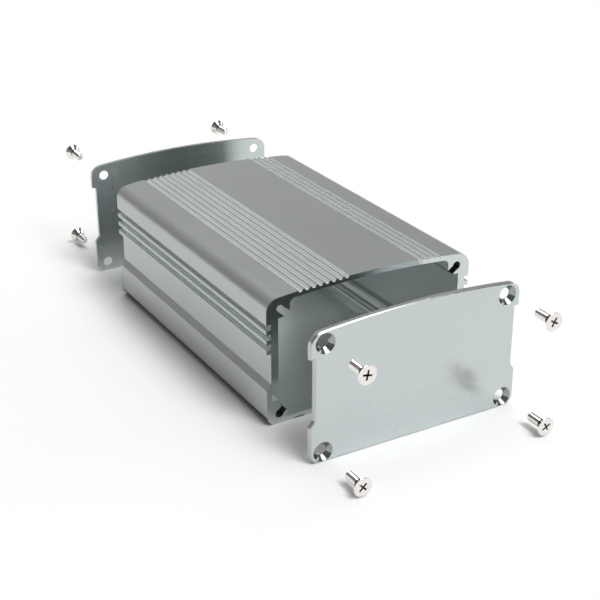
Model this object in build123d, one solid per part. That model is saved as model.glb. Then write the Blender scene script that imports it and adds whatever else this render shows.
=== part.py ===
from build123d import *
import os
from math import sqrt

# An empty amplifier chassis: one extruded aluminium tube, closed at each end by a
# plate that four countersunk screws hold. It is shown taken apart, with the plates
# standing off the tube and each screw in line with its hole.
# X runs across the chassis, Y along it from front to rear, and Z up. The origin is
# at the middle of the tube's underside. Millimetres.

# Tube and plate outline
WIDTH = 76.0
HEIGHT = 45.5
LENGTH = 115.0
CROWN_RADIUS = 320.0
TOP_CORNER_RADIUS = 4.5
BOTTOM_CORNER_RADIUS = 3.1

# Recess along each flank, with its fins
RECESS_TOP = 35.2
RECESS_DEPTH = 1.55
BEVEL_TOP = 14.6
BEVEL_BOTTOM = 12.4
FIN_COUNT = 3
FIN_THICKNESS = 1.55
FIN_GROOVE = 1.8
FIN_EDGE = 0.25
FIN_ROOT = 0.5

# Fine grooves in the roof, counted inwards from each long edge
ROOF_GROOVE_PITCH = 2.4
ROOF_GROOVE_WIDTH = 1.15
ROOF_GROOVE_DEPTH = 0.65
ROOF_GROOVE_BEVEL = 0.12
ROOF_GROOVE_INSET = 12.1
LEFT_GROOVES = 8
RIGHT_GROOVES = 4

# Walls of the tube
ROOF_WALL = 1.75
FLOOR_WALL = 1.9
FLANK_WALL = 4.15
SOLE_GROOVE_INSET = 9.7
SOLE_GROOVE_WIDTH = 3.65
SOLE_GROOVE_DEPTH = 0.65

# Board guide low on each inner wall
GUIDE_BOTTOM = 8.4
GUIDE_HEIGHT = 2.25
GUIDE_WALL = 1.8
GUIDE_RAIL_TOP = 12.5
GUIDE_RAIL_RELIEF = 0.5
GUIDE_LIP = 0.5

# Open screw channel in each corner of the tube
TOP_SCREW_INSET = 5.0
TOP_SCREW_DROP = 5.8
BOTTOM_SCREW_INSET = 4.4
BOTTOM_SCREW_RISE = 3.5
CHANNEL_BORE = 2.6
THROAT_NARROW = 2.0
THROAT_WIDE = 2.9
THROAT_REACH = 5.0
BOSS_REACH = 3.3
BOSS_UNDERSIDE = 2.95
BOSS_FILLET = 2.0
CORNER_BLOCK_FACE = 2.4

# End plates
PLATE_THICKNESS = 1.8
PLATE_EDGE_BEVEL = 0.35
PLATE_HOLE = 3.7
COUNTERSINK = 6.7
PLATE_GAP = 24.8

# Countersunk screws
SCREW_LENGTH = 8.0
THREAD_DIAMETER = 3.0
SHANK_CLEARANCE = 0.1
HEAD_DIAMETER = 6.2
HEAD_RIM = 0.15
TIP_BEVEL = 0.4
CROSS_SPAN = 3.2
CROSS_WIDTH = 0.8
CROSS_DEPTH = 1.2
CROSS_TAPER = 12.0
FRONT_SCREW_GAP = 14.2
REAR_SCREW_GAP = 23.0

# How far a cutting shape runs past the face that it opens
OVERCUT = 1.0

HALF = WIDTH / 2
SIDES = {"left": -1, "right": 1}
CORNERS = [(level, side) for level in ("top", "bottom") for side in SIDES]


def arc_height(radius, apex, x):
    """Height at x of a shallow arch with its apex above x = 0."""
    return apex - radius + sqrt(radius**2 - x**2)


def mirrored(side, points):
    """The same points on the right (1) or the left (-1)."""
    return [(side * x, z) for x, z in points]


def closed(points):
    return make_face(Polyline(*points, close=True))


def arched(half, radius, apex, foot):
    """A block with straight sides and an arched top."""
    shoulder = arc_height(radius, apex, half)
    roof = ThreePointArc((half, shoulder), (0, apex), (-half, shoulder))
    walls = Polyline((-half, shoulder), (-half, foot), (half, foot), (half, shoulder))
    return make_face([roof, walls])


def screw_centre(level, side):
    if level == "top":
        return SIDES[side] * (HALF - TOP_SCREW_INSET), HEIGHT - TOP_SCREW_DROP
    return SIDES[side] * (HALF - BOTTOM_SCREW_INSET), BOTTOM_SCREW_RISE


def flank_recess(side):
    """The long recess in a flank: square at the top, bevelled at the bottom."""
    floor = HALF - RECESS_DEPTH
    points = [
        (HALF + OVERCUT, RECESS_TOP),
        (floor, RECESS_TOP),
        (floor, BEVEL_TOP),
        (HALF, BEVEL_BOTTOM),
        (HALF + OVERCUT, BEVEL_BOTTOM),
    ]
    return closed(mirrored(side, points))


def outline():
    """What the tube and both plates share: crown, round corners, flank recesses."""
    shape = arched(HALF, CROWN_RADIUS, HEIGHT, 0)
    shape = fillet(shape.vertices().group_by(Axis.Y)[-1], TOP_CORNER_RADIUS)
    shape = fillet(shape.vertices().group_by(Axis.Y)[0], BOTTOM_CORNER_RADIUS)
    for side in SIDES.values():
        shape -= flank_recess(side)
    return shape


def fin(side, index):
    """One fin that stands in the flank recess, with its tip flush with the flank."""
    pitch = FIN_THICKNESS + FIN_GROOVE
    centre_z = RECESS_TOP - FIN_GROOVE - FIN_THICKNESS / 2 - index * pitch
    reach = RECESS_DEPTH + FIN_ROOT
    return Pos(side * (HALF - reach / 2), centre_z) * RectangleRounded(reach, FIN_THICKNESS, FIN_EDGE)


def roof_groove(x):
    """A square groove with bevelled lips, cut down into the crown."""
    surface = arc_height(CROWN_RADIUS, HEIGHT, x)
    half = ROOF_GROOVE_WIDTH / 2
    mouth = half + ROOF_GROOVE_BEVEL
    top = HEIGHT + OVERCUT
    return closed([
        (x - half, surface - ROOF_GROOVE_DEPTH),
        (x + half, surface - ROOF_GROOVE_DEPTH),
        (x + half, surface - ROOF_GROOVE_BEVEL),
        (x + mouth, surface),
        (x + mouth, top),
        (x - mouth, top),
        (x - mouth, surface),
        (x - half, surface - ROOF_GROOVE_BEVEL),
    ])


def roof_grooves():
    first = HALF - ROOF_GROOVE_INSET
    left = [-first + i * ROOF_GROOVE_PITCH for i in range(LEFT_GROOVES)]
    right = [first - i * ROOF_GROOVE_PITCH for i in range(RIGHT_GROOVES)]
    return [roof_groove(x) for x in left + right]


def top_boss(side):
    """The square boss round an upper channel, blended into the roof."""
    x, z = screw_centre("top", "right")
    inner, underside = x - BOSS_REACH, z - BOSS_UNDERSIDE
    ceiling = HEIGHT - ROOF_WALL
    blend_top = arc_height(CROWN_RADIUS - ROOF_WALL, ceiling, inner - BOSS_FILLET)
    block = closed(mirrored(side, [
        (inner, underside), (HALF, underside), (HALF, HEIGHT), (inner, HEIGHT),
    ]))
    corner = closed(mirrored(side, [
        (inner, blend_top - BOSS_FILLET), (inner, HEIGHT),
        (inner - BOSS_FILLET, HEIGHT), (inner - BOSS_FILLET, blend_top - BOSS_FILLET),
    ]))
    hollow = Pos(side * (inner - BOSS_FILLET), blend_top - BOSS_FILLET) * Circle(BOSS_FILLET)
    return block + (corner - hollow)


def corner_block(side):
    """The block round a lower channel, with a sloping face up to the board guide."""
    x, z = screw_centre("bottom", "right")
    inner = x - BOSS_REACH + (TOP_SCREW_INSET - BOTTOM_SCREW_INSET) / 2
    rail = HALF - FLANK_WALL + GUIDE_RAIL_RELIEF + GUIDE_LIP
    step = CORNER_BLOCK_FACE * sqrt(2)
    slope_start = z + step - (x - inner)
    slope_end = z + step - (x - rail)
    return closed(mirrored(side, [
        (inner, 0), (inner, slope_start), (rail, slope_end),
        (rail, GUIDE_BOTTOM), (HALF, GUIDE_BOTTOM), (HALF, 0),
    ]))


def board_guide(side):
    """The slot that takes a board's edge, and the relief in the rail above it."""
    wall = HALF - FLANK_WALL
    slot_z = GUIDE_BOTTOM + GUIDE_HEIGHT
    rail = wall + GUIDE_RAIL_RELIEF
    slot = closed(mirrored(side, [
        (0, GUIDE_BOTTOM), (HALF - GUIDE_WALL, GUIDE_BOTTOM),
        (HALF - GUIDE_WALL, slot_z), (0, slot_z),
    ]))
    relief = closed(mirrored(side, [
        (0, slot_z), (rail, slot_z), (rail, GUIDE_RAIL_TOP), (0, GUIDE_RAIL_TOP),
    ]))
    return slot + relief


def screw_channel(level, side):
    """A round bore for the screw, open through a throat that points inwards."""
    x, z = screw_centre(level, side)
    across, along = THROAT_NARROW / 2, THROAT_REACH
    throat = closed([
        (0, -across), (along, -THROAT_WIDE / 2), (along, THROAT_WIDE / 2), (0, across),
    ])
    downwards = level == "top"
    turn = {(-1, True): -45, (1, True): -135, (-1, False): 45, (1, False): 135}
    return Pos(x, z) * (Circle(CHANNEL_BORE / 2) + Rot(0, 0, turn[SIDES[side], downwards]) * throat)


def cavity():
    """The open inside of the tube, with what stands in its corners left out."""
    space = arched(HALF - FLANK_WALL, CROWN_RADIUS - ROOF_WALL, HEIGHT - ROOF_WALL, FLOOR_WALL)
    for side in SIDES.values():
        space -= top_boss(side)
        space -= corner_block(side)
        space += board_guide(side)
    for level, side in CORNERS:
        space += screw_channel(level, side)
    return space


def sole_groove(side):
    """A shallow groove along the underside, in from a long edge."""
    centre = HALF - SOLE_GROOVE_INSET - SOLE_GROOVE_WIDTH / 2
    return Pos(side * centre, 0) * Rectangle(SOLE_GROOVE_WIDTH, 2 * SOLE_GROOVE_DEPTH)


def housing():
    section = outline()
    for side in SIDES.values():
        section -= sole_groove(side)
        for index in range(FIN_COUNT):
            section += fin(side, index)
    for groove in roof_grooves():
        section -= groove
    section -= cavity()
    return extrude(Plane.XZ * section, amount=LENGTH / 2, both=True)


def countersunk_hole():
    """A through hole and its cone, opening towards -Y at y = -PLATE_THICKNESS."""
    drill = PLATE_HOLE / 2
    wide = COUNTERSINK / 2
    depth = wide - drill
    profile = Polyline(
        (0, OVERCUT), (drill, OVERCUT), (drill, depth - PLATE_THICKNESS),
        (wide, -PLATE_THICKNESS), (wide, -PLATE_THICKNESS - OVERCUT),
        (0, -PLATE_THICKNESS - OVERCUT), close=True,
    )
    return revolve(make_face(profile), Axis.Y)


def end_plate():
    """A plate with its inner face at y = 0 and its outer face towards -Y."""
    plate = extrude(Plane.XZ * outline(), amount=PLATE_THICKNESS)
    rim = plate.faces().sort_by(Axis.Y)[0].edges().sort_by(Axis.Z)[1:]
    plate = chamfer(rim, PLATE_EDGE_BEVEL)
    for level, side in CORNERS:
        x, z = screw_centre(level, side)
        plate -= Pos(x, 0, z) * countersunk_hole()
    return plate


def screw():
    """A countersunk screw with its head face at y = 0 and its tip towards +Y.

    The shank is the thread's root, which slides into the channel's bore.
    """
    head, thread = HEAD_DIAMETER / 2, THREAD_DIAMETER / 2
    core = CHANNEL_BORE / 2 - SHANK_CLEARANCE
    cone_end = HEAD_RIM + head - thread
    profile = Polyline(
        (0, 0), (head, 0), (head, HEAD_RIM), (thread, cone_end), (core, cone_end),
        (core, SCREW_LENGTH - TIP_BEVEL), (core - TIP_BEVEL, SCREW_LENGTH),
        (0, SCREW_LENGTH), close=True,
    )
    cross = Rectangle(CROSS_SPAN, CROSS_WIDTH) + Rectangle(CROSS_WIDTH, CROSS_SPAN)
    socket = extrude(Plane.ZX * cross, amount=CROSS_DEPTH, taper=CROSS_TAPER)
    return revolve(make_face(profile), Axis.Y) - socket


def place_end(piece, end, stand_off):
    """Put a piece made for the front at that end, or turned about at the rear."""
    moved = Pos(0, -LENGTH / 2 - stand_off, 0) * piece
    return moved if end == "front" else Rot(0, 0, 180) * moved


def build_parts():
    parts = {"housing": housing()}
    plate, fastener = end_plate(), screw()
    for end, gap in (("front", FRONT_SCREW_GAP), ("rear", REAR_SCREW_GAP)):
        parts[f"{end}_plate"] = place_end(plate, end, PLATE_GAP)
        stand_off = PLATE_GAP + PLATE_THICKNESS + gap + SCREW_LENGTH
        for level, side in CORNERS:
            x, z = screw_centre(level, side)
            seen = x if end == "front" else -x
            name = f"{end}_screw_{level}_{side}"
            parts[name] = place_end(Pos(seen, 0, z) * fastener, end, stand_off)
    return parts


def main():
    os.makedirs("parts", exist_ok=True)
    for name, shape in build_parts().items():
        shape.label = name
        export_step(shape, f"parts/{name}.step")


main()
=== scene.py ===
import math

import bmesh
import bpy
from mathutils import Matrix, Vector


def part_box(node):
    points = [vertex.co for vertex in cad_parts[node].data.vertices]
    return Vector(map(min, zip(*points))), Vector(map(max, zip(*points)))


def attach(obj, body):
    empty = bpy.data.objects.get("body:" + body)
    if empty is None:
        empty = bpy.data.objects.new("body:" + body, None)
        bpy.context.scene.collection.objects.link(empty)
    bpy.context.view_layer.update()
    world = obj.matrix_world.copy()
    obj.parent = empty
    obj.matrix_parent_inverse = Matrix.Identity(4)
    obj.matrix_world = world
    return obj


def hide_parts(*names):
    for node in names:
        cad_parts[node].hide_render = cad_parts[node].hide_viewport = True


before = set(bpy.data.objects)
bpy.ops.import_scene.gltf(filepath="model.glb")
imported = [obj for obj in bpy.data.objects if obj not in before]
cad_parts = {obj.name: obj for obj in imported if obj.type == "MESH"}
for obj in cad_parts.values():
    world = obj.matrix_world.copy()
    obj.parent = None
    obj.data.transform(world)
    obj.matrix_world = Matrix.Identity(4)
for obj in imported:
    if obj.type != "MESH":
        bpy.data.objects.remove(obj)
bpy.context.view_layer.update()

# Everything in Blender is in metres. Sizes named here are in millimetres and angles in
# degrees, unless their name says otherwise. X is across the tube, Y along it, Z up.
MM = 0.001

# The photograph's camera
CAMERA_PLACE_M = (-0.2062, -0.3675, 0.2088)
CAMERA_YAW = 30.15
CAMERA_PITCH = -25.06
CAMERA_LENS = 77.7
CAMERA_SENSOR = 36.0
CAMERA_NEAR_M = 0.01

# How the solids' facets are merged and their edges eased
SAME_POINT_WITHIN = 0.0005
FACET_MERGE_DEG = 0.4
SHARP_DEG = 28.0
TUBE_EDGE = 0.07
PLATE_EDGE = 0.09
EDGE_SEGMENTS = 2
EDGE_PROFILE = 0.6
FLAT_FACE_WEIGHT = 90

# The tube's section, to tell its surfaces apart. The grooves are measured down from the
# roof's arc.
HEIGHT = 45.5
CROWN_RADIUS = 320.0
ROOF_WALL = 1.75
INSIDE_HALF_WIDTH = 36.3
INSIDE_BOTTOM = 1.2
INSIDE_MARGIN = 0.4
INSIDE_FLOOR_TOP = 2.4
GROOVED_HALF_WIDTH = 27.5
GROOVES_WITHIN = 1.0
GROOVE_BOTTOM_BELOW = 0.6
FINS_BOTTOM = 25.0
FINS_TOP = 35.0
FIN_EDGE = 0.15
SOLE_TOP = 2.6
CUT_END_WITHIN = 0.02

# The screw channels. A lip of a top channel's mouth is told by its place beside the screw
# axis, and is then shifted.
CHANNEL_REACH = 2.5
DRAWN_BORE = 2.6
TAPPED_BORE = 2.96
BORE_FOUND_WITHIN = 0.03
LIPS = (((-3.30, -1.46), (0.05, 0.36)), ((-1.17, -2.95), (-0.20, 0.22)))
LIP_FOUND_WITHIN = 0.12

# Where finishes change along the tube, measured from its middle: the painted shade darkening the
# inside floor and the screw channels towards the ends
FLOOR_SHADE_FROM_MIDDLE = (0.0, 38.0)
CHANNEL_SHADE_FROM_MIDDLE = (40.0, 50.0)

# Limits for one component of a face's normal: when the face counts as square to that
# axis, and when it leans towards it
SQUARE_TO = 0.9
PLATE_SQUARE_TO = 0.97
LEANS_SIDEWAYS = 0.15
LEANS_DOWN = -0.2
LEANS_UP = 0.5

COUNTERSINK_DIAMETER = 6.7
COUNTERSINK_MARGIN = 0.12

# The screw and its head
SCREW_LENGTH = 8.0
SCREW_SIDES = 56
HEAD_DIAMETER = 6.2
HEAD_RIM = 0.18
HEAD_ROUND = 0.14
HEAD_ROUND_STEPS = 4
RIM_EASE = 0.02
RIM_EASE_IN = 0.03

# Its shank. The head's cone would meet the neck at a corner: two points beside it, as
# (out, along) from the corner, blunt it.
THREAD_MAJOR = 2.9
THREAD_MINOR = 2.42
THREAD_PITCH = 0.5
THREAD_STEPS_PER_TURN = 9
THREAD_FADE_IN = 0.4
THREAD_FADE_OUT = 0.5
# Shares of half a turn: the flat root, then the rise to the flat crest
THREAD_ROOT = 0.12
THREAD_FLANK = 0.68
NECK_LENGTH = 0.7
NECK_EASE = 0.02
CORNER_ABOVE = (0.06, -0.08)
CORNER_BELOW = (-NECK_EASE, 0.04)
TIP_LENGTH = 0.45
TIP_SLOPE = 0.75

# Its driver recess. The cutter's two ends are given as shares of the cross's span and of
# its wings' width.
RECESS_SPAN = 3.3
RECESS_WING = 0.64
RECESS_DEPTH = 1.25
RECESS_SURROUND = 0.25
CUTTER_ABOVE = 0.2
CUTTER_TOP = (1.06, 1.1)
CUTTER_FOOT = (0.42, 0.45)

# How far past their own sizes the recess's and the neck's faces are looked for. The face
# of the head lies above the skin.
HEAD_FACE_SKIN = 0.02
RECESS_MARGIN_DOWN = 0.05
RECESS_MARGIN_OUT = 0.15
NECK_MARGIN = 0.1

# Each screw is turned a little further than the one before
SCREW_TURN_FIRST = 12.0
SCREW_TURN_STEP = 17.0

FLOOR_HALF_M = 20.0

# A noise's values lie mostly between these
NOISE_MIDDLE = (0.3, 0.7)

# The finishes: uneven sheen, the relief of drawn lines and of pits, and the aluminium's
# share of metal where the die has left it dull
CLOUD_SCALE = 22.0
SHEEN_SPREAD = 0.045
LINES_STRENGTH = 0.10
LINES_DEPTH_M = 0.00004
PITS_STRENGTH = 0.16
PITS_DEPTH_M = 0.00003
DULL_METALLIC = 0.88

# Studio light. The ramp goes by the sine of the elevation: where it starts and ends, then
# its levels there. Each soft box has its elevation, azimuth (from +Y towards +X),
# sharpness and strength.
CEILING_RAMP = (0.35, 0.85, 0.23, 0.08)
SOFT_BOXES = [
    (58.0, 162.0, 60.0, 15.4),
    (44.0, 169.0, 60.0, 5.7),
    (72.0, 141.0, 60.0, 3.4),
    (54.0, 146.0, 60.0, 1.9),
    (62.0, 22.0, 60.0, 4.8),
    (48.0, 56.0, 60.0, 1.6),
    (6.0, 10.0, 4.0, 0.50),
    (14.0, 92.0, 30.0, 2.2),
    (37.0, -6.0, 25.0, 0.17),
]

PLATES = ("front_plate", "rear_plate")
SCREWS = [
    f"{end}_screw_{level}_{side}"
    for end in ("front", "rear")
    for level in ("top", "bottom")
    for side in ("left", "right")
]

MAP_SOCKETS = ("From Min", "From Max", "To Min", "To Max")


class Nodes:
    """Short calls for building one material's node tree."""

    def __init__(self, name):
        self.material = bpy.data.materials.new(name)
        self.material.use_nodes = True
        self.tree = self.material.node_tree
        self.shader = self.tree.nodes["Principled BSDF"]

    def add(self, kind, **inputs):
        node = self.tree.nodes.new(kind)
        for name, value in inputs.items():
            self.set(node, name.replace("_", " "), value)
        return node

    def set(self, node, name, value):
        if isinstance(value, bpy.types.NodeSocket):
            self.tree.links.new(value, node.inputs[name])
        else:
            node.inputs[name].default_value = value

    def stretched(self, scale):
        """Object coordinates, scaled differently along X, Y and Z."""
        place = self.add("ShaderNodeTexCoord")
        mapping = self.add("ShaderNodeMapping", Vector=place.outputs["Object"])
        mapping.inputs["Scale"].default_value = scale
        return mapping.outputs["Vector"]

    def noise(self, scale, detail=3.0, roughness=0.55):
        return self.add(
            "ShaderNodeTexNoise", Vector=self.stretched(scale), Scale=1.0,
            Detail=detail, Roughness=roughness,
        ).outputs["Fac"]

    def ramp(self, fac, low, high):
        """Map the middle of a noise to the range from low to high."""
        node = self.add("ShaderNodeMapRange", Value=fac)
        for name, value in zip(MAP_SOCKETS, (*NOISE_MIDDLE, low, high)):
            node.inputs[name].default_value = value
        return node.outputs["Result"]

    def towards_ends(self, from_middle):
        """0 by the middle of the tube's length, 1 towards its ends, between two places in mm."""
        place = self.add("ShaderNodeTexCoord")
        axes = self.add("ShaderNodeSeparateXYZ", Vector=place.outputs["Object"])
        along = self.add("ShaderNodeMath", Value=axes.outputs["Y"])
        along.operation = "ABSOLUTE"
        node = self.add("ShaderNodeMapRange", Value=along.outputs["Value"])
        for name, value in zip(MAP_SOCKETS[:2], from_middle):
            node.inputs[name].default_value = value * MM
        return node.outputs["Result"]

    def bump(self, height, strength, distance, normal=None):
        node = self.add("ShaderNodeBump", Height=height, Strength=strength, Distance=distance)
        if normal is not None:
            self.set(node, "Normal", normal)
        return node.outputs["Normal"]

    def tint(self, fac, dark, light):
        node = self.tree.nodes.new("ShaderNodeMix")
        node.data_type = "RGBA"
        self.tree.links.new(fac, node.inputs["Factor"])
        node.inputs["A"].default_value = (*dark, 1.0)
        node.inputs["B"].default_value = (*light, 1.0)
        return node.outputs["Result"]


def anodised(name, dark, light, grain, streaks, roughness, metallic=1.0, relief=1.0):
    """Satin anodised aluminium: fine pits, faint drawn lines and an uneven sheen."""
    m = Nodes(name)
    lines = m.noise(streaks, detail=4.0, roughness=0.65)
    pits = m.noise(3 * (grain,), detail=2.0, roughness=0.6)
    cloud = m.noise(3 * (CLOUD_SCALE,), detail=2.0)
    m.set(m.shader, "Base Color", m.tint(m.ramp(cloud, 0.0, 1.0), dark, light))
    sheen = m.ramp(lines, roughness - SHEEN_SPREAD, roughness + SHEEN_SPREAD)
    m.set(m.shader, "Roughness", sheen)
    m.shader.inputs["Metallic"].default_value = metallic
    drawn = m.bump(lines, LINES_STRENGTH * relief, LINES_DEPTH_M)
    m.set(m.shader, "Normal", m.bump(pits, PITS_STRENGTH * relief, PITS_DEPTH_M, drawn))
    return m.material


def tube_finish():
    return anodised(
        "tube_anodised", (0.435, 0.452, 0.452), (0.462, 0.480, 0.480),
        grain=2600.0, streaks=(1900.0, 14.0, 1900.0), roughness=0.33,
    )


def cut_finish():
    """Sawn and lightly brushed end faces, brighter than the drawn walls."""
    return anodised(
        "cut_end", (0.57, 0.62, 0.615), (0.60, 0.65, 0.645),
        grain=2400.0, streaks=(900.0, 900.0, 900.0), roughness=0.12,
    )


def inside_painted_light_finish():
    """The tube's inner faces, much paler than the outside as painted light."""
    return anodised(
        "tube_inside", (0.80, 0.85, 0.845), (0.84, 0.885, 0.88),
        grain=2000.0, streaks=(1500.0, 12.0, 1500.0), roughness=0.34,
        metallic=DULL_METALLIC,
    )


def inside_floor_finish():
    """The inside floor, paler than the outside as painted light, with painted shade darkening it
    towards the ends.
    """
    m = Nodes("tube_inside_floor")
    floor_shade = m.towards_ends(FLOOR_SHADE_FROM_MIDDLE)
    m.set(m.shader, "Base Color", m.tint(floor_shade, (0.92, 0.97, 0.965), (0.50, 0.54, 0.54)))
    lines = m.noise((1500.0, 12.0, 1500.0), detail=4.0, roughness=0.65)
    m.set(m.shader, "Roughness", m.ramp(lines, low=0.30, high=0.39))
    m.shader.inputs["Metallic"].default_value = DULL_METALLIC
    m.set(m.shader, "Normal", m.bump(lines, LINES_STRENGTH, LINES_DEPTH_M))
    return m.material


def groove_highlight_finish():
    """The roof grooves' bottoms, pale as a painted highlight."""
    return anodised(
        "groove_bottom_highlight", (0.93, 0.94, 0.94), (0.97, 0.98, 0.98),
        grain=2000.0, streaks=(2500.0, 20.0, 2500.0), roughness=0.34,
        metallic=0.45,
    )


def lip_highlight_finish():
    """The grooves' narrow bevelled lips, pale as a painted highlight."""
    return anodised(
        "groove_lip_highlight", (0.92, 0.93, 0.93), (0.96, 0.97, 0.97),
        grain=2000.0, streaks=(2500.0, 20.0, 2500.0), roughness=0.36,
        metallic=0.1,
    )


def channel_finish():
    """The screw channels: pale in the middle as painted light, like the other inner faces, turning
    black towards the ends as painted shade in the deep channels.
    """
    m = Nodes("channel_painted_shade")
    shaded_ends = m.towards_ends(CHANNEL_SHADE_FROM_MIDDLE)
    m.set(m.shader, "Base Color", m.tint(shaded_ends, (0.80, 0.85, 0.845), (0.10, 0.11, 0.11)))
    lines = m.noise((2500.0, 20.0, 2500.0), detail=3.0)
    m.set(m.shader, "Roughness", m.ramp(lines, low=0.30, high=0.38))
    m.shader.inputs["Metallic"].default_value = DULL_METALLIC
    return m.material


def sole_shade_finish():
    """The underside and the lower part of its rounded edges, near black as painted shade where the
    case stands on the floor.
    """
    return anodised(
        "sole_painted_shade", (0.042, 0.045, 0.045), (0.065, 0.068, 0.068),
        grain=1800.0, streaks=(1500.0, 14.0, 1500.0), roughness=0.45,
    )


def rim_finish():
    """The plates' sheared and bevelled rims, neutral in tone beside the anodised faces."""
    return anodised(
        "plate_rim", (0.475, 0.49, 0.492), (0.515, 0.53, 0.532),
        grain=2200.0, streaks=(900.0, 900.0, 900.0), roughness=0.24,
    )


def plate_finish():
    return anodised(
        "plate_anodised", (0.555, 0.605, 0.603), (0.570, 0.620, 0.618),
        grain=2200.0, streaks=(700.0, 700.0, 700.0), roughness=0.24,
        relief=0.3,
    )


def countersink_shade_finish():
    """Turned metal in the countersinks, darkened as painted shade."""
    m = Nodes("countersink_painted_shade")
    rings = m.noise((900.0, 3200.0, 900.0), detail=3.0)
    m.shader.inputs["Base Color"].default_value = (0.33, 0.35, 0.35, 1.0)
    m.shader.inputs["Metallic"].default_value = 1.0
    m.set(m.shader, "Roughness", m.ramp(rings, low=0.08, high=0.15))
    return m.material


def nickel(name, dark, light):
    """Polished nickel plating with a faint haze."""
    m = Nodes(name)
    haze = m.noise((700.0, 700.0, 700.0), detail=3.0)
    m.set(m.shader, "Base Color", m.tint(m.ramp(haze, 0.0, 1.0), dark, light))
    m.shader.inputs["Metallic"].default_value = 1.0
    m.set(m.shader, "Roughness", m.ramp(haze, low=0.05, high=0.10))
    return m.material


def nickel_finish():
    return nickel("screw_nickel", (0.80, 0.765, 0.735), (0.87, 0.84, 0.815))


def recess_shade_finish():
    """The driver recess, darkened as painted shade."""
    return nickel("screw_recess", (0.26, 0.245, 0.23), (0.36, 0.34, 0.32))


def neck_shade_finish():
    """The plain neck, dark as painted shade under the head."""
    return nickel("screw_neck", (0.10, 0.095, 0.09), (0.20, 0.19, 0.18))


def add_object(name, bm):
    mesh = bpy.data.meshes.new(name)
    bm.to_mesh(mesh)
    bm.free()
    obj = bpy.data.objects.new(name, mesh)
    bpy.context.scene.collection.objects.link(obj)
    return obj


def bake_modifiers(obj):
    bpy.context.view_layer.update()
    graph = bpy.context.evaluated_depsgraph_get()
    baked = bpy.data.meshes.new_from_object(obj.evaluated_get(graph))
    obj.modifiers.clear()
    obj.data = baked


def smooth_but_sharp(obj):
    mesh = obj.data
    for face in mesh.polygons:
        face.use_smooth = True
    mesh.set_sharp_from_angle(angle=math.radians(SHARP_DEG))


def keep_flats_flat(obj):
    """Stop the narrow eased edges from bending the shading of the broad faces."""
    modifier = obj.modifiers.new("weighted", "WEIGHTED_NORMAL")
    modifier.keep_sharp = True
    modifier.weight = FLAT_FACE_WEIGHT
    bake_modifiers(obj)


def merged_copy(node):
    """A node's own form with its flat facets merged."""
    bm = bmesh.new()
    bm.from_mesh(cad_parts[node].data)
    bmesh.ops.remove_doubles(bm, verts=bm.verts, dist=SAME_POINT_WITHIN * MM)
    bmesh.ops.dissolve_limit(
        bm, angle_limit=math.radians(FACET_MERGE_DEG), verts=bm.verts, edges=bm.edges,
    )
    return bm


def eased_object(bm, name, width):
    """An object of this form with its edges slightly eased."""
    sharp = [
        e for e in bm.edges
        if len(e.link_faces) == 2 and e.calc_face_angle(0.0) > math.radians(SHARP_DEG)
    ]
    bmesh.ops.bevel(
        bm, geom=sharp, offset=width * MM, segments=EDGE_SEGMENTS, profile=EDGE_PROFILE,
        affect="EDGES", clamp_overlap=True, miter_outer="ARC",
    )
    return add_object(name, bm)


def hole_centres(node):
    """Axes of the four screws that belong to a plate, as (x, z) in metres."""
    end = node.split("_")[0]
    axes = []
    for name in SCREWS:
        if name.startswith(end):
            low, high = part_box(name)
            axes.append(((low[0] + high[0]) / 2, (low[2] + high[2]) / 2))
    return axes


def tap_channels(bm):
    """Open the channels' bores to the width that the screws' threads cut for themselves."""
    grow = TAPPED_BORE / DRAWN_BORE
    for x, z in hole_centres("front_plate"):
        for vert in bm.verts:
            out_x, out_z = vert.co.x - x, vert.co.z - z
            if abs(math.hypot(out_x, out_z) - DRAWN_BORE / 2 * MM) < BORE_FOUND_WITHIN * MM:
                vert.co.x, vert.co.z = x + out_x * grow, z + out_z * grow


def draw_in_mouths(bm):
    """Shift the lips of the two top channels' mouths."""
    for x, z in hole_centres("front_plate"):
        if z < HEIGHT / 2 * MM:
            continue
        side = math.copysign(1.0, x)
        for (lip_x, lip_z), (shift_x, shift_z) in LIPS:
            lip = (x + side * lip_x * MM, z + lip_z * MM)
            for vert in bm.verts:
                if math.dist((vert.co.x, vert.co.z), lip) < LIP_FOUND_WITHIN * MM:
                    vert.co.x += side * shift_x * MM
                    vert.co.z += shift_z * MM


def crown_at(x):
    """Height of the roof's arc over a place across the tube, in millimetres."""
    return HEIGHT - CROWN_RADIUS + math.sqrt(CROWN_RADIUS**2 - x**2)


def tube_surface(face, low, high, bores):
    """Which of the tube's finishes a face has, by its place in the section."""
    x, z = face.center.x / MM, face.center.z / MM
    to_end = min(face.center.y - low[1], high[1] - face.center.y) / MM
    if abs(face.normal.y) > SQUARE_TO and to_end < CUT_END_WITHIN:
        return "cut"
    if min(math.hypot(x - bx, z - bz) for bx, bz in bores) < CHANNEL_REACH:
        return "channel"
    # Inner faces get paler finishes as painted light; the floor's and channels' finishes add
    # painted shade towards the ends
    if abs(x) < INSIDE_HALF_WIDTH and INSIDE_BOTTOM < z < crown_at(x) - ROOF_WALL + INSIDE_MARGIN:
        on_floor = z < INSIDE_FLOOR_TOP and face.normal.z > LEANS_UP
        return "inside_floor" if on_floor else "inside"
    if abs(x) < GROOVED_HALF_WIDTH and z > crown_at(x) - GROOVES_WITHIN:
        if abs(face.normal.x) > SQUARE_TO:
            return "cut"
        # Pale painted highlights on the grooves' lips and bottoms
        if abs(face.normal.x) > LEANS_SIDEWAYS:
            return "lip"
        if z < crown_at(x) - GROOVE_BOTTOM_BELOW:
            return "groove"
    if FINS_BOTTOM < z < FINS_TOP and abs(x) < high[0] / MM - FIN_EDGE:
        return "cut"
    # Near-black painted shade on the underside and the lower part of its rounded edges
    if z < SOLE_TOP and face.normal.z < LEANS_DOWN:
        return "sole"
    return "outside"


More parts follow.
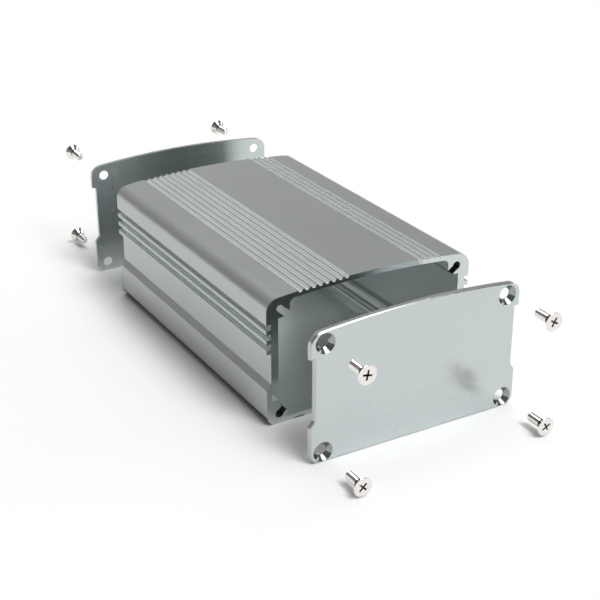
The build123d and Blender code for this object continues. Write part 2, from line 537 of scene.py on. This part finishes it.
def build_tube():
    bm = merged_copy("housing")
    tap_channels(bm)
    draw_in_mouths(bm)
    obj = eased_object(bm, "tube", TUBE_EDGE)
    finishes = {
        "outside": tube_finish, "cut": cut_finish, "inside": inside_painted_light_finish,
        "inside_floor": inside_floor_finish,
        "groove": groove_highlight_finish, "lip": lip_highlight_finish, "channel": channel_finish, "sole": sole_shade_finish,
    }
    for make in finishes.values():
        obj.data.materials.append(make())
    order = list(finishes)
    low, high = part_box("housing")
    bores = [(x / MM, z / MM) for x, z in hole_centres("front_plate")]
    for face in obj.data.polygons:
        face.material_index = order.index(tube_surface(face, low, high, bores))
    smooth_but_sharp(obj)
    keep_flats_flat(obj)
    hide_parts("housing")
    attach(obj, "housing")


def build_plate(node, finishes):
    """One end plate. Its finishes are for its faces, its countersinks and its rim."""
    obj = eased_object(merged_copy(node), node.replace("_plate", "_end_plate"), PLATE_EDGE)
    for material in finishes:
        obj.data.materials.append(material)
    reach = (COUNTERSINK_DIAMETER / 2 + COUNTERSINK_MARGIN) * MM
    centres = hole_centres(node)
    for face in obj.data.polygons:
        c = face.center
        near = min(math.hypot(c.x - x, c.z - z) for x, z in centres)
        if abs(face.normal.y) < PLATE_SQUARE_TO:
            # Countersinks get the darker metal of painted shade
            face.material_index = 1 if near < reach else 2
    smooth_but_sharp(obj)
    keep_flats_flat(obj)
    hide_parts(node)
    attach(obj, node)


def join_rings(bm, a, b):
    count = max(len(a), len(b))
    for i in range(count):
        j = (i + 1) % count
        if len(a) == 1:
            bm.faces.new((a[0], b[j], b[i]))
        elif len(b) == 1:
            bm.faces.new((a[i], a[j], b[0]))
        else:
            bm.faces.new((a[i], a[j], b[j], b[i]))


def thread_radius(angle, along, full):
    """Radius of a V thread with flat crests, faded in at the neck and out at the tip."""
    turn = (along / THREAD_PITCH - angle / (2 * math.pi)) % 1.0
    ridge = 1.0 - abs(2.0 * turn - 1.0)
    ridge = min(1.0, max(0.0, (ridge - THREAD_ROOT) / THREAD_FLANK))
    fade = min(1.0, along / THREAD_FADE_IN, max(0.0, (full - along) / THREAD_FADE_OUT))
    low, high = THREAD_MINOR / 2, THREAD_MAJOR / 2
    return low + (high - low) * ridge * max(0.0, fade)


def shank_radius(angle, along, full):
    """A short plain neck under the head, then the thread."""
    if along < NECK_LENGTH:
        return THREAD_MAJOR / 2 - NECK_EASE
    return thread_radius(angle, along - NECK_LENGTH, full - NECK_LENGTH)


def ring_at(bm, y, radius_of):
    """Points around the Y axis, at the radius for each angle."""
    ring = []
    for i in range(SCREW_SIDES):
        a = 2 * math.pi * i / SCREW_SIDES
        r = radius_of(a)
        ring.append(bm.verts.new((r * math.cos(a), y, r * math.sin(a))))
    return ring


def screw_shell():
    """Head, neck and threaded shank as one closed turned form, tip towards +Y."""
    bm = bmesh.new()
    head, neck = HEAD_DIAMETER / 2, THREAD_MAJOR / 2
    cone_end = HEAD_RIM + head - neck
    profile = [(0.0, 0.0), (RECESS_SPAN / 2 + RECESS_SURROUND, 0.0), (head - HEAD_ROUND, 0.0)]
    for i in range(1, HEAD_ROUND_STEPS + 1):
        a = math.pi / 2 * i / HEAD_ROUND_STEPS
        profile.append((head - HEAD_ROUND * (1 - math.sin(a)), HEAD_ROUND * (1 - math.cos(a))))
    profile += [(head, HEAD_RIM - RIM_EASE), (head - RIM_EASE_IN, HEAD_RIM + RIM_EASE)]
    profile += [(neck + out, cone_end + along) for out, along in (CORNER_ABOVE, CORNER_BELOW)]
    start = profile[-1][1]
    rings = []
    for radius, y in profile:
        if radius == 0:
            rings.append([bm.verts.new((0, 0, 0))])
        else:
            rings.append(ring_at(bm, y, lambda a, r=radius: r))
    full = SCREW_LENGTH - start
    steps = int(full / THREAD_PITCH * THREAD_STEPS_PER_TURN)
    for k in range(1, steps + 1):
        along = full * k / steps
        taper = max(0.0, along - (full - TIP_LENGTH)) * TIP_SLOPE
        rings.append(ring_at(
            bm, start + along, lambda a, s=along, t=taper: shank_radius(a, s, full) - t,
        ))
    rings.append([bm.verts.new((0, SCREW_LENGTH, 0))])
    for a, b in zip(rings, rings[1:]):
        join_rings(bm, a, b)
    bmesh.ops.recalc_face_normals(bm, faces=bm.faces)
    return bm


def cross_cutter():
    """The driver's cross: two crossed wedges, narrower towards their foot."""
    bm = bmesh.new()
    for turn in (0.0, math.pi / 2):
        spin = Matrix.Rotation(turn, 3, "Y")
        corners = []
        for y, shares in ((-CUTTER_ABOVE, CUTTER_TOP), (RECESS_DEPTH, CUTTER_FOOT)):
            span, wing = RECESS_SPAN * shares[0], RECESS_WING * shares[1]
            for sx, sz in ((-1, -1), (1, -1), (1, 1), (-1, 1)):
                corners.append(bm.verts.new(spin @ Vector((sx * span / 2, y, sz * wing / 2))))
        top, bottom = corners[:4], corners[4:]
        bm.faces.new(top[::-1])
        bm.faces.new(bottom)
        for i in range(4):
            j = (i + 1) % 4
            bm.faces.new((top[i], top[j], bottom[j], bottom[i]))
    bmesh.ops.recalc_face_normals(bm, faces=bm.faces)
    return bm


def cut_with(obj, cutter):
    modifier = obj.modifiers.new("cut", "BOOLEAN")
    modifier.operation = "DIFFERENCE"
    modifier.solver = "EXACT"
    modifier.use_self = True
    modifier.object = cutter
    bake_modifiers(obj)
    bpy.data.objects.remove(cutter)


def screw_mesh():
    """One finished screw, its head's face at the origin."""
    obj = add_object("screw_pattern", screw_shell())
    cutter = add_object("screw_cross", cross_cutter())
    cut_with(obj, cutter)
    mesh = obj.data
    mesh.materials.clear()
    mesh.materials.append(nickel_finish())
    mesh.materials.append(recess_shade_finish())
    mesh.materials.append(neck_shade_finish())
    neck_start = HEAD_RIM + (HEAD_DIAMETER - THREAD_MAJOR) / 2
    for face in mesh.polygons:
        c = face.center
        out = math.hypot(c.x, c.z)
        sunk = HEAD_FACE_SKIN < c.y < RECESS_DEPTH + RECESS_MARGIN_DOWN
        in_recess = sunk and out < RECESS_SPAN / 2 + RECESS_MARGIN_OUT
        below_head = neck_start - NECK_MARGIN < c.y < neck_start + NECK_LENGTH
        on_neck = below_head and out > THREAD_MINOR / 2
        # Darker nickel on the neck and in the driver recess is painted shade
        face.material_index = 2 if on_neck else 1 if in_recess else 0
    mesh.transform(Matrix.Scale(MM, 4))
    bpy.data.objects.remove(obj)
    return mesh


def build_screws():
    pattern = screw_mesh()
    for turn, node in enumerate(SCREWS):
        low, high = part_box(node)
        centre = Vector((low[0] + high[0], 0, low[2] + high[2])) / 2
        mesh = pattern.copy()
        angle = SCREW_TURN_FIRST + SCREW_TURN_STEP * turn
        mesh.transform(Matrix.Rotation(math.radians(angle), 4, "Y"))
        if node.startswith("rear"):
            mesh.transform(Matrix.Rotation(math.pi, 4, "Z"))
            centre.y = high[1]
        else:
            centre.y = low[1]
        mesh.transform(Matrix.Translation(centre))
        obj = bpy.data.objects.new(node.replace("_screw_", "_fastener_"), mesh)
        bpy.context.scene.collection.objects.link(obj)
        smooth_but_sharp(obj)
        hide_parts(node)
        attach(obj, node)


def floor_material():
    m = Nodes("floor_white")
    m.shader.inputs["Base Color"].default_value = (0.90, 0.90, 0.90, 1.0)
    m.shader.inputs["Roughness"].default_value = 0.9
    m.shader.inputs["Specular IOR Level"].default_value = 0.2
    grain = m.noise((60.0, 60.0, 60.0), detail=2.0)
    m.set(m.shader, "Normal", m.bump(grain, strength=0.02, distance=0.0002))
    return m.material


def build_floor():
    bm = bmesh.new()
    bmesh.ops.create_grid(bm, x_segments=8, y_segments=8, size=FLOOR_HALF_M)
    floor = add_object("floor", bm)
    floor.data.materials.append(floor_material())


def calculate(tree, operation, *values):
    """The result of one math node, from numbers or other nodes' results."""
    node = tree.nodes.new("ShaderNodeMath")
    node.operation = operation
    for socket, value in zip(node.inputs, values):
        if isinstance(value, bpy.types.NodeSocket):
            tree.links.new(value, socket)
        else:
            socket.default_value = value
    return node.outputs["Value"]


def glow(tree, direction, elevation, azimuth, sharpness, strength):
    """A round soft light in the sky. Azimuth turns from +Y towards +X."""
    rise, turn = math.radians(elevation), math.radians(azimuth)
    facing = tree.nodes.new("ShaderNodeVectorMath")
    facing.operation = "DOT_PRODUCT"
    facing.inputs[1].default_value = (
        math.cos(rise) * math.sin(turn), math.cos(rise) * math.cos(turn), math.sin(rise),
    )
    tree.links.new(direction, facing.inputs[0])
    fall = calculate(tree, "MULTIPLY_ADD", facing.outputs["Value"], sharpness, -sharpness)
    return calculate(tree, "MULTIPLY", calculate(tree, "EXPONENT", fall), strength)


def build_world():
    """Pale studio walls, a darker ceiling, and soft boxes hung from it."""
    world = bpy.data.worlds.new("studio")
    bpy.context.scene.world = world
    world.use_nodes = True
    tree = world.node_tree
    background = tree.nodes["Background"]
    direction = tree.nodes.new("ShaderNodeTexCoord").outputs["Generated"]
    axes = tree.nodes.new("ShaderNodeSeparateXYZ")
    tree.links.new(direction, axes.inputs[0])
    ramp = tree.nodes.new("ShaderNodeMapRange")
    ramp.interpolation_type = "SMOOTHSTEP"
    for name, value in zip(MAP_SOCKETS, CEILING_RAMP):
        ramp.inputs[name].default_value = value
    tree.links.new(axes.outputs["Z"], ramp.inputs["Value"])
    light = ramp.outputs["Result"]
    for row in SOFT_BOXES:
        light = calculate(tree, "ADD", light, glow(tree, direction, *row))
    tree.links.new(light, background.inputs["Strength"])
    background.inputs["Color"].default_value = (1.0, 1.0, 1.0, 1.0)


def build_camera():
    data = bpy.data.cameras.new("camera")
    data.sensor_width = CAMERA_SENSOR
    data.lens = CAMERA_LENS
    data.clip_start = CAMERA_NEAR_M
    camera = bpy.data.objects.new("camera", data)
    camera.location = CAMERA_PLACE_M
    camera.rotation_euler = (math.radians(90.0 + CAMERA_PITCH), 0.0, math.radians(-CAMERA_YAW))
    bpy.context.scene.collection.objects.link(camera)
    bpy.context.scene.camera = camera


def main():
    bpy.context.scene.view_settings.view_transform = "Standard"
    build_tube()
    finishes = (plate_finish(), countersink_shade_finish(), rim_finish())
    for node in PLATES:
        build_plate(node, finishes)
    build_screws()
    build_floor()
    build_world()
    build_camera()


main()
